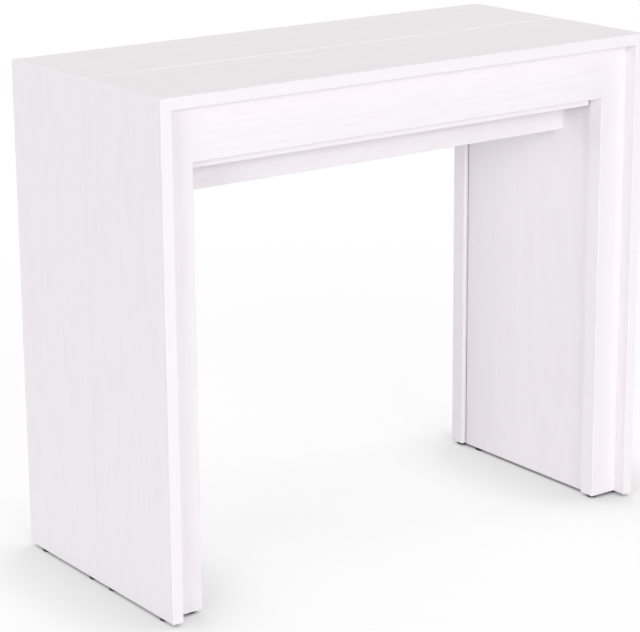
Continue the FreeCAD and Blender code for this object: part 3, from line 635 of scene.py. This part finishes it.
def band_of_revolution() -> bpy.types.NodeTree:
    """Makes the tree of one turned band, with ridges that run round it as a thread or along it as flutes.

    Returns:
        The tree, made at the first call.
    """
    title = "band_of_revolution"
    if title in bpy.data.node_groups:
        return bpy.data.node_groups[title]
    tree = bpy.data.node_groups.new(title, "GeometryNodeTree")
    for name in (*BAND_SIZES, "Starts", "Pitch"):
        tree.interface.new_socket(name, in_out="INPUT", socket_type="NodeSocketFloat")
    for name in ("Rows", "Segments"):
        tree.interface.new_socket(name, in_out="INPUT", socket_type="NodeSocketInt")
    tree.interface.new_socket("Band", in_out="OUTPUT", socket_type="NodeSocketGeometry")
    entry = add_node(tree, "NodeGroupInput").outputs
    # A flat grid with one more line of points than faces each way is then bent round the axis
    columns = add_node(tree, "ShaderNodeMath", {0: entry["Segments"], 1: 1.0}, operation="ADD")
    lines = add_node(tree, "ShaderNodeMath", {0: entry["Rows"], 1: 1.0}, operation="ADD")
    grid = add_node(tree, "GeometryNodeMeshGrid",
                    {"Size X": 1.0, "Size Y": 1.0, "Vertices X": columns.outputs[0],
                     "Vertices Y": lines.outputs[0]})
    position = add_node(tree, "GeometryNodeInputPosition")
    place = add_node(tree, "ShaderNodeSeparateXYZ", {0: position.outputs[0]})
    round_share, rise_share = (
        add_node(tree, "ShaderNodeMath", {0: place.outputs[axis.value], 1: GRID_HALF},
                 operation="ADD").outputs[0]
        for axis in (Axis.X, Axis.Y))
    angle = add_node(tree, "ShaderNodeMath", {0: round_share, 1: math.tau}, operation="MULTIPLY").outputs[0]
    a, b = MIX_NUMBERS
    radius, height, ridge = (
        add_node(tree, "ShaderNodeMix",
                 {MIX_FACTOR: rise_share, a: entry[f"Start {size}"], b: entry[f"End {size}"]},
                 data_type="FLOAT").outputs[MIX_NUMBER_RESULT]
        for size in ("Radius", "Height", "Ridge"))
    # A pitch of 0 leaves straight flutes, because a division by 0 gives 0 here
    climb = add_node(tree, "ShaderNodeMath", {0: height, 1: entry["Pitch"]}, operation="DIVIDE")
    phase = add_node(tree, "ShaderNodeMath",
                     {0: round_share, 1: entry["Starts"], 2: climb.outputs[0]}, operation="MULTIPLY_ADD")
    wave = add_node(tree, "ShaderNodeMath", {0: phase.outputs[0], 1: HALF_PERIOD}, operation="PINGPONG")
    depth = add_node(tree, "ShaderNodeMath", {0: wave.outputs[0], 1: ridge}, operation="MULTIPLY")
    # At the wave's full height the whole ridge share is taken off the radius
    kept = add_node(tree, "ShaderNodeMath", {0: depth.outputs[0], 1: -1 / HALF_PERIOD, 2: 1.0},
                    operation="MULTIPLY_ADD")
    reach = add_node(tree, "ShaderNodeMath", {0: radius, 1: kept.outputs[0]}, operation="MULTIPLY").outputs[0]
    cosine = add_node(tree, "ShaderNodeMath", {0: angle}, operation="COSINE")
    sine = add_node(tree, "ShaderNodeMath", {0: angle}, operation="SINE")
    x = add_node(tree, "ShaderNodeMath", {0: reach, 1: cosine.outputs[0]}, operation="MULTIPLY")
    y = add_node(tree, "ShaderNodeMath", {0: reach, 1: sine.outputs[0]}, operation="MULTIPLY")
    point = add_node(tree, "ShaderNodeCombineXYZ", {0: x.outputs[0], 1: y.outputs[0], 2: height})
    bent = add_node(tree, "GeometryNodeSetPosition",
                    {"Geometry": grid.outputs[0], "Position": point.outputs[0]})
    add_node(tree, "NodeGroupOutput", {0: bent.outputs[0]})
    return tree


class ScrewTree(TurnedTree):
    """A pan-head wood screw: domed head with a cross recess, short neck, thread and point."""

    ridge_starts: ClassVar[int] = -1
    segments: ClassVar[int] = 18
    head_shares: ClassVar[tuple[tuple[float, float], ...]] = (
        (1.0, 0.0), (1.0, 0.42), (0.94, 0.70), (0.78, 0.90), (0.5, 1.0), (0.0, 1.0))
    point_share: ClassVar[float] = 1.6
    neck_share: ClassVar[float] = 0.9
    thread_share: ClassVar[float] = 0.3
    rows_per_turn: ClassVar[int] = 6
    # The blades that cut the recess stand as far above the head as they go into it
    blade_share: ClassVar[float] = 2.0

    def shape(self) -> bpy.types.NodeSocket:
        """Adds the screw's inputs, profile and recess.

        Returns:
            The screw, with its seat at height 0.
        """
        head_radius, head_height = self.size("Head Radius"), self.size("Head Height")
        shank_radius, shank_end = self.size("Shank Radius"), self.size("Shank End")
        self.pitch = self.size("Thread Pitch")
        rows = self.size("Thread Rows", "NodeSocketInt")
        recess_span, recess_width = self.size("Recess Span"), self.size("Recess Width")
        recess_depth = self.size("Recess Depth")
        cone = self.share(shank_radius, self.point_share)
        shoulder = add_node(self.tree, "ShaderNodeMath", {0: shank_end, 1: cone}, operation="ADD").outputs[0]
        neck = self.share(shank_radius, -self.neck_share)
        thread = self.thread_share
        self.band((0.0, shank_end, thread), (shank_radius, shoulder, thread), rows=self.rows_per_turn)
        self.band((shank_radius, shoulder, thread), (shank_radius, neck, thread), rows=rows)
        self.band((shank_radius, neck, thread), (shank_radius, 0.0, 0.0))
        head = [(self.share(head_radius, out), self.share(head_height, up), 0.0)
                for out, up in self.head_shares]
        self.band((shank_radius, 0.0, 0.0), head[0])
        for lower, upper in zip(head, head[1:]):
            self.band(lower, upper)
        blade_height = self.share(recess_depth, self.blade_share)
        blade_size = add_node(self.tree, "ShaderNodeCombineXYZ",
                              {0: recess_span, 1: recess_width, 2: blade_height})
        blade = add_node(self.tree, "GeometryNodeMeshCube", {"Size": blade_size.outputs[0]})
        raised = add_node(self.tree, "ShaderNodeCombineXYZ", {2: head_height})
        cutter = add_node(self.tree, "GeometryNodeJoinGeometry")
        for turn in (0.0, math.pi / 2):
            placed = add_node(self.tree, "GeometryNodeTransform",
                              {"Geometry": blade.outputs[0], "Translation": raised.outputs[0],
                               "Rotation": (0.0, 0.0, turn)})
            self.tree.links.new(placed.outputs[0], cutter.inputs[0])
        return add_node(self.tree, "GeometryNodeMeshBoolean",
                        {"Mesh 1": self.closed(), "Mesh 2": cutter.outputs[0], "Self Intersection": True},
                        operation="DIFFERENCE", solver="EXACT").outputs[0]


class DowelTree(TurnedTree):
    """A fluted dowel with broken ends."""

    ridge_starts: ClassVar[int] = 16
    segments: ClassVar[int] = 32
    flute_share: ClassVar[float] = 0.07

    def shape(self) -> bpy.types.NodeSocket:
        """Adds the dowel's inputs and profile.

        Returns:
            The dowel, about its middle.
        """
        radius, half, broken = self.size("Radius"), self.size("Half Length"), self.size("Broken End")
        inner = add_node(self.tree, "ShaderNodeMath", {0: radius, 1: broken}, operation="SUBTRACT").outputs[0]
        top = add_node(self.tree, "ShaderNodeMath", {0: half, 1: broken}, operation="SUBTRACT").outputs[0]
        low, bottom = self.share(half, -1.0), self.share(top, -1.0)
        flute = self.flute_share
        profile = [(0.0, low, flute), (inner, low, flute), (radius, bottom, flute), (radius, top, flute),
                   (inner, half, flute), (0.0, half, flute)]
        for lower, upper in zip(profile, profile[1:]):
            self.band(lower, upper)
        return self.closed()


def set_at_stations(node: str, suffix: str, tree: bpy.types.NodeTree, places: list[tuple[Vector, Vector]],
                    sizes: dict[str, float | int], finish: Finish) -> bpy.types.Object:
    """Runs a tree over a node's stations and lets the result stand for the node.

    Args:
        node: The node of the frame that the new piece replaces.
        suffix: What the piece's name adds to the node's.
        tree: The tree that turns the piece.
        places: The point and the headward direction of each copy.
        sizes: A value for each named input of the tree.
        finish: The piece's finish.

    Returns:
        The new piece, riding on the node's body.
    """
    points = bpy.data.meshes.new(f"{node}_stations")
    points.from_pydata([place for place, _ in places], [], [])
    headward = points.attributes.new("headward", "FLOAT_VECTOR", "POINT")
    for mark, (_, direction) in zip(headward.data, places):
        mark.vector = direction
    holder = bpy.data.objects.new(f"{node}_holder", points)
    bpy.context.scene.collection.objects.link(holder)
    modifier = holder.modifiers.new("turned", "NODES")
    modifier.node_group = tree
    values = {**sizes, "Finish": finish.material()}
    for item in tree.interface.items_tree:
        if item.in_out == "INPUT" and item.name in values:
            modifier[item.identifier] = values[item.name]
    evaluated = holder.evaluated_get(bpy.context.evaluated_depsgraph_get())
    mesh = bpy.data.meshes.new_from_object(evaluated)
    holder.modifiers.remove(modifier)
    bpy.data.objects.remove(holder)
    piece = bpy.data.objects.new(f"{node}_{suffix}", mesh)
    bpy.context.scene.collection.objects.link(piece)
    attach(piece, BODY_OF[node])
    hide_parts(node)
    LOG.info("%s on %s: %d faces", piece.name, BODY_OF[node], len(mesh.polygons))
    return piece


@dataclass
class Shell:
    """The folded shell: tops and sides, mitred at the corners and parted at mid depth."""

    top: AshMelamine = AshMelamine(grain=Axis.X, banded=Axis.Y)
    side: AshMelamine = AshMelamine(grain=Axis.Z, banded=Axis.Y)

    def dress(self) -> None:
        """Gives the boards their grain along their length."""
        for half in HALVES:
            dress(f"{half}_top", self.top)
            for side in SIDES:
                dress(f"{half}_side_{side}", self.side)


@dataclass
class Portals:
    """The recessed portals, and the boards that stand or hang behind the front one."""

    upright: AshMelamine = AshMelamine(grain=Axis.Z, banded=Axis.X)
    level: AshMelamine = AshMelamine(grain=Axis.X, banded=Axis.Z)
    panel: AshMelamine = AshMelamine(grain=Axis.Z, banded=Axis.Y)

    def dress(self) -> None:
        """Gives the boards their grain along their length."""
        for half in HALVES:
            dress(f"{half}_apron", self.level)
            for side in SIDES:
                dress(f"{half}_post_{side}", self.upright)
        for side in SIDES:
            dress(f"leg_panel_{side}", self.panel)
        dress("front_batten", self.level)
        dress("stretcher", self.level)


@dataclass
class Guides:
    """The two telescopic guides: rails, crossbars, stop pins and the hangers that carry them."""

    rails: int = 7
    rail: AnodisedAluminium = AnodisedAluminium(Axis.Y)
    bar: AnodisedAluminium = AnodisedAluminium(Axis.X)
    steel: ZincPlatedSteel = ZincPlatedSteel()

    def dress(self) -> None:
        """Gives rails and bars their die lines and the small steel its plating."""
        for stage in range(self.rails):
            for side in SIDES:
                dress(f"guide_rail_{stage}_{side}", self.rail)
        for stage in range(1, self.rails - 1):
            dress(f"crossbar_{stage}", self.bar)
        for stage in range(self.rails - 1):
            dress(f"stop_pins_{stage}", self.steel)
        for half in HALVES:
            dress(f"{half}_hangers", self.steel)
            dress(f"{half}_angles", self.steel)

    def screws(self) -> list[str]:
        """Returns the nodes of the crossbars' screws."""
        return [f"crossbar_screws_{stage}" for stage in range(1, self.rails - 1)]


@dataclass
class SeamPins:
    """Pins and sockets that line up the tops at the seam."""

    pin: TurnedBeech = TurnedBeech(Axis.Y)
    socket: MouldedNylon = MouldedNylon()

    def dress(self) -> None:
        """Gives pins and sockets their finish."""
        dress("leaf_pins", self.pin)
        dress("leaf_sockets", self.socket)


@dataclass
class Feet:
    """Glides under the boards."""

    glide: MouldedNylon = MouldedNylon()

    def dress(self) -> None:
        """Gives the glides their finish."""
        for half in HALVES:
            dress(f"{half}_glides", self.glide)


@dataclass
class Screws:
    """The screws of the whole table, turned with heads, threads and points."""

    board_nodes: tuple[str, ...] = ("front_screws", "rear_screws", "front_frame_screws")
    head_height: float = 2.4 * MM
    shank_radius: float = 2 * MM
    thread_pitch: float = 1.8 * MM
    recess_span: float = 4.6 * MM
    recess_width: float = 1.1 * MM
    recess_depth: float = 1.3 * MM
    finish: ZincPlatedSteel = ZincPlatedSteel()

    def build(self, guide_nodes: list[str]) -> None:
        """Replaces each node of screws, those of the guides and those of the boards.

        Args:
            guide_nodes: The nodes of the frame that hold the guides' screws.
        """
        tree = ScrewTree("pan_head_screw").finished()
        for node in (*guide_nodes, *self.board_nodes):
            stations = Station.all_in(node)
            shank = stations[0].length - self.head_height
            seat = stations[0].length / 2 - self.head_height
            places = [(s.middle + s.headward * seat, s.headward) for s in stations]
            sizes = {
                "Head Radius": stations[0].radius, "Head Height": self.head_height,
                "Shank Radius": self.shank_radius, "Shank End": -shank, "Thread Pitch": self.thread_pitch,
                "Thread Rows": math.ceil(shank / self.thread_pitch * ScrewTree.rows_per_turn),
                "Recess Span": self.recess_span, "Recess Width": self.recess_width,
                "Recess Depth": self.recess_depth,
            }
            set_at_stations(node, "threaded", tree, places, sizes, self.finish)


@dataclass
class Dowels:
    """Fluted dowels between aprons, posts and leg panels."""

    broken_end: float = 1 * MM
    runs: tuple[tuple[str, Axis], ...] = (("front_dowels", Axis.Y), ("rear_dowels", Axis.X))

    def build(self) -> None:
        """Replaces each node of dowels."""
        tree = DowelTree("fluted_dowel").finished()
        for node, grain in self.runs:
            stations = Station.all_in(node)
            places = [(s.middle, s.headward) for s in stations]
            sizes = {"Radius": stations[0].radius, "Half Length": stations[0].length / 2,
                     "Broken End": self.broken_end}
            set_at_stations(node, "fluted", tree, places, sizes, TurnedBeech(grain))


@dataclass(frozen=True)
class Lamp:
    """A softbox, set by the brightness it gives a white card held square to it at the aim."""

    name: str
    place: tuple[float, float, float]
    width: float
    height: float
    level: float

    def light(self, aim: Vector) -> None:
        """Hangs the lamp and points it.

        Args:
            aim: The point it faces.
        """
        away = Vector(self.place) - aim
        data = bpy.data.lights.new(self.name, "AREA")
        data.shape = "RECTANGLE"
        data.size, data.size_y = self.width, self.height
        # The lamp and the card each spread their light over a half space, which divides it by pi
        data.energy = self.level * math.pi ** 2 * away.length_squared
        lamp = bpy.data.objects.new(self.name, data)
        lamp.matrix_world = Matrix.Translation(self.place) @ away.to_track_quat("Z", "Y").to_matrix().to_4x4()
        bpy.context.scene.collection.objects.link(lamp)
        # What mirrors in the boards is the white room, so that no lamp burns out the top
        lamp.visible_glossy = False


@dataclass
class Studio:
    """A white floor, soft lamps and the camera at the photograph's angle."""

    # The floor lights the boards as white paint does, and shows a grey that its glow lifts to white. Beside
    # and under the boards the glow is dimmed by ambient occlusion, a painted contact shadow
    floor_size: float = 24.0
    floor_bounce: str = "#F2F2F3"
    floor_shown: str = "#777777"
    floor_glow: float = 0.825
    floor_fade: tuple[float, float] = (0.7, 2.2)
    contact_reach: float = 0.22
    contact_samples: int = 8
    contact_level: float = 0.76
    under_sky: float = 0.45
    beside_sky: tuple[float, float] = (0.6, 0.95)
    room_colour: str = "#FFFFFF"
    room_level: float = 0.19
    aim: tuple[float, float, float] = (-0.0227, 0.0166, 0.404)
    distance: float = 3.641
    azimuth: float = 36.27
    elevation: float = 15.07
    roll: float = -0.41
    lens: float = 130.7
    sensor: float = 36.0
    shift: tuple[float, float] = (0.0, -0.06)
    # The lamps round the table stand far off, so that a half pulled out keeps its brightness
    lamps: tuple[Lamp, ...] = (
        Lamp("front_softbox", place=(-3.0, -16.5, 4.4), width=8.0, height=5.0, level=0.44),
        Lamp("left_softbox", place=(-14.5, -8.0, 4.0), width=8.0, height=5.0, level=0.33),
        Lamp("right_softbox", place=(16.3, -2.5, 4.6), width=8.0, height=6.0, level=0.40),
        Lamp("top_softbox", place=(0.0, 0.0, 6.5), width=4.0, height=4.0, level=0.31),
        Lamp("back_softbox", place=(0.0, 15.5, 4.4), width=9.0, height=6.5, level=0.42),
        Lamp("back_left_softbox", place=(-8.5, 12.5, 3.4), width=7.5, height=6.0, level=0.20),
    )

    def seen(self, tree: bpy.types.NodeTree) -> bpy.types.NodeSocket:
        """Tells apart what is seen from what lights the table.

        Args:
            tree: The node tree of a floor or a world.

        Returns:
            A socket that is 1 for what the camera, a mirror or a glass sees, and otherwise 0.
        """
        path = add_node(tree, "ShaderNodeLightPath")
        glossy = add_node(tree, "ShaderNodeMath",
                          {0: path.outputs["Is Camera Ray"], 1: path.outputs["Is Glossy Ray"]},
                          operation="MAXIMUM")
        clear = add_node(tree, "ShaderNodeMath",
                         {0: glossy.outputs[0], 1: path.outputs["Is Transmission Ray"]}, operation="MAXIMUM")
        return clear.outputs[0]

    def floor_paint(self) -> bpy.types.Material:
        """Mixes the floor's paint, which keeps the lamps' shadows, adds a painted contact shadow beside and
        under the boards, and is white where none falls.

        Returns:
            The floor's material.
        """
        paint = bpy.data.materials.new("white_studio_floor")
        paint.use_nodes = True
        tree = paint.node_tree
        tree.nodes.clear()
        seen = self.seen(tree)
        a, b = MIX_COLOURS
        colour = add_node(tree, "ShaderNodeMix",
                          {MIX_FACTOR: seen, a: linear(self.floor_bounce), b: linear(self.floor_shown)},
                          data_type="RGBA")
        matt = add_node(tree, "ShaderNodeBsdfDiffuse", {"Color": colour.outputs[MIX_COLOUR_RESULT]})
        # Painted contact shadow: the floor's glow is dimmed where ambient occlusion finds the boards near, a
        # little beside them and almost to nothing under them
        sky = add_node(tree, "ShaderNodeAmbientOcclusion", {"Distance": self.contact_reach},
                       samples=self.contact_samples).outputs["AO"]
        under = add_node(tree, "ShaderNodeMapRange",
                         {"Value": sky, "From Max": self.under_sky, "To Max": self.contact_level})
        close, clear = self.beside_sky
        beside = add_node(tree, "ShaderNodeMapRange",
                          {"Value": sky, "From Min": close, "From Max": clear,
                           "To Max": 1 - self.contact_level}, interpolation_type="SMOOTHSTEP")
        # The share of the glow that the painted contact shadow leaves
        painted_shadow_share = add_node(tree, "ShaderNodeMath", {0: under.outputs[0], 1: beside.outputs[0]}, operation="ADD")
        full = add_node(tree, "ShaderNodeMath", {0: seen, 1: self.floor_glow}, operation="MULTIPLY")
        level = add_node(tree, "ShaderNodeMath", {0: full.outputs[0], 1: painted_shadow_share.outputs[0]},
                         operation="MULTIPLY")
        glow = add_node(tree, "ShaderNodeEmission", {"Strength": level.outputs[0]})
        near_floor = add_node(tree, "ShaderNodeAddShader", {0: matt.outputs[0], 1: glow.outputs[0]})
        # Away from the table the floor turns to the white of the room, so that no edge shows
        place = add_node(tree, "ShaderNodeTexCoord")
        reach = add_node(tree, "ShaderNodeVectorMath", {0: place.outputs["Object"]}, operation="LENGTH")
        near, far = self.floor_fade
        fade = add_node(tree, "ShaderNodeMapRange",
                        {"Value": reach.outputs["Value"], "From Min": near, "From Max": far, "To Max": seen},
                        interpolation_type="SMOOTHSTEP")
        white = add_node(tree, "ShaderNodeEmission")
        ground = add_node(tree, "ShaderNodeMixShader",
                          {0: fade.outputs[0], 1: near_floor.outputs[0], 2: white.outputs[0]})
        add_node(tree, "ShaderNodeOutputMaterial", {"Surface": ground.outputs[0]})
        return paint

    def lay_floor(self) -> None:
        """Lays the floor that the table stands on."""
        half = self.floor_size / 2
        corners = [(-half, -half, 0), (half, -half, 0), (half, half, 0), (-half, half, 0)]
        mesh = bpy.data.meshes.new("floor")
        mesh.from_pydata(corners, [], [(0, 1, 2, 3)])
        mesh.materials.append(self.floor_paint())
        floor = bpy.data.objects.new("floor", mesh)
        bpy.context.scene.collection.objects.link(floor)

    def fill_room(self) -> None:
        """Fills the room with even light, and shows white where nothing stands."""
        world = bpy.data.worlds.new("white_room")
        world.use_nodes = True
        bpy.context.scene.world = world
        tree = world.node_tree
        level = add_node(tree, "ShaderNodeMapRange",
                         {"Value": self.seen(tree), "To Min": self.room_level, "To Max": 1.0})
        set_inputs(tree, tree.nodes["Background"],
                   {"Color": linear(self.room_colour), "Strength": level.outputs[0]})

    def set_camera(self) -> None:
        """Sets the camera where the photograph was taken from."""
        data = bpy.data.cameras.new("photo_camera")
        data.sensor_width = self.sensor
        data.lens = self.lens
        data.shift_x, data.shift_y = self.shift
        turn = (Matrix.Rotation(math.radians(-self.azimuth), 4, "Z")
                @ Matrix.Rotation(math.radians(90 - self.elevation), 4, "X")
                @ Matrix.Rotation(math.radians(self.roll), 4, "Z"))
        back = turn @ Vector((0, 0, self.distance))
        camera = bpy.data.objects.new("photo_camera", data)
        camera.matrix_world = Matrix.Translation(Vector(self.aim) + back) @ turn
        bpy.context.scene.collection.objects.link(camera)
        bpy.context.scene.camera = camera

    def build(self) -> None:
        """Builds the studio round the table."""
        bpy.context.scene.view_settings.view_transform = "Standard"
        self.lay_floor()
        self.fill_room()
        for lamp in self.lamps:
            lamp.light(Vector(self.aim))
        self.set_camera()


def main() -> None:
    """Builds and dresses the table, and sets it in the studio."""
    logging.basicConfig(level=logging.INFO, format="%(message)s")
    guides = Guides()
    for part in (Shell(), Portals(), guides, SeamPins(), Feet()):
        part.dress()
    Screws().build(guides.screws())
    Dowels().build()
    Studio().build()


if __name__ == "__main__":
    main()
